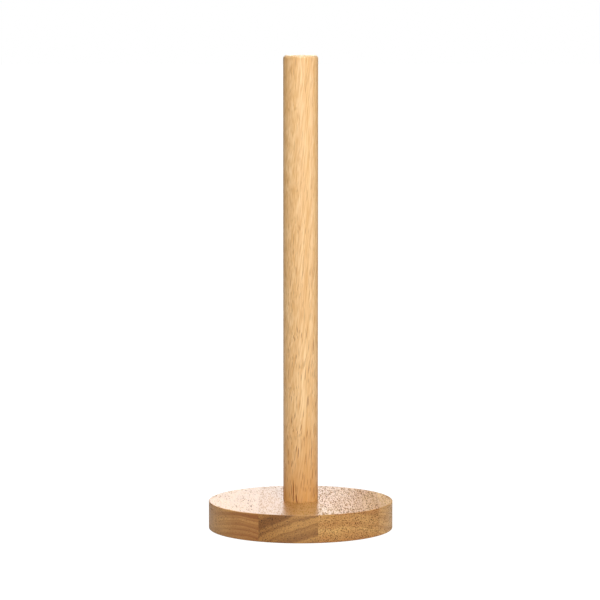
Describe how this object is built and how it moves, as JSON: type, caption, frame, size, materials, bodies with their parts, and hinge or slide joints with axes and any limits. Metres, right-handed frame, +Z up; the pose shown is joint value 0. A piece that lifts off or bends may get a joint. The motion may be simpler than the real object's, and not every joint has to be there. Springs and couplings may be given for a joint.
{
  "type": "paper towel holder",
  "caption": "Upright paper towel holder: a plain round wooden post fixed in the middle of a round laminated wooden base on rubber pads. A roll slides down over the post.",
  "frame": {"origin": "middle of the base in plan, on the plane that the four pads stand on", "axes": "+Z up along the post; +Y away from the viewer, along the base's strips; +X to the viewer's right"},
  "size_m": [0.13, 0.13, 0.335],
  "materials": {
    "strip_tan": "rubberwood, sanded and satin lacquered",
    "strip_brown": "rubberwood, sanded and satin lacquered",
    "strip_pale": "rubberwood, sanded and satin lacquered",
    "strip_light": "rubberwood, sanded and satin lacquered",
    "post_wood": "turned rubberwood dowel, satin lacquered",
    "zinc_steel": "bright zinc plated",
    "pad_rubber": "matt moulded"
  },
  "bodies": {
    "root": {"base_strip_left": "strip_tan", "base_strip_centre_left": "strip_brown", "base_strip_centre_right": "strip_pale", "base_strip_right": "strip_light", "post": "post_wood", "post_screw": "zinc_steel", "screw_washer": "zinc_steel", "foot_pad_front_left": "pad_rubber", "foot_pad_front_right": "pad_rubber", "foot_pad_back_left": "pad_rubber", "foot_pad_back_right": "pad_rubber"}
  },
  "joints": []
}
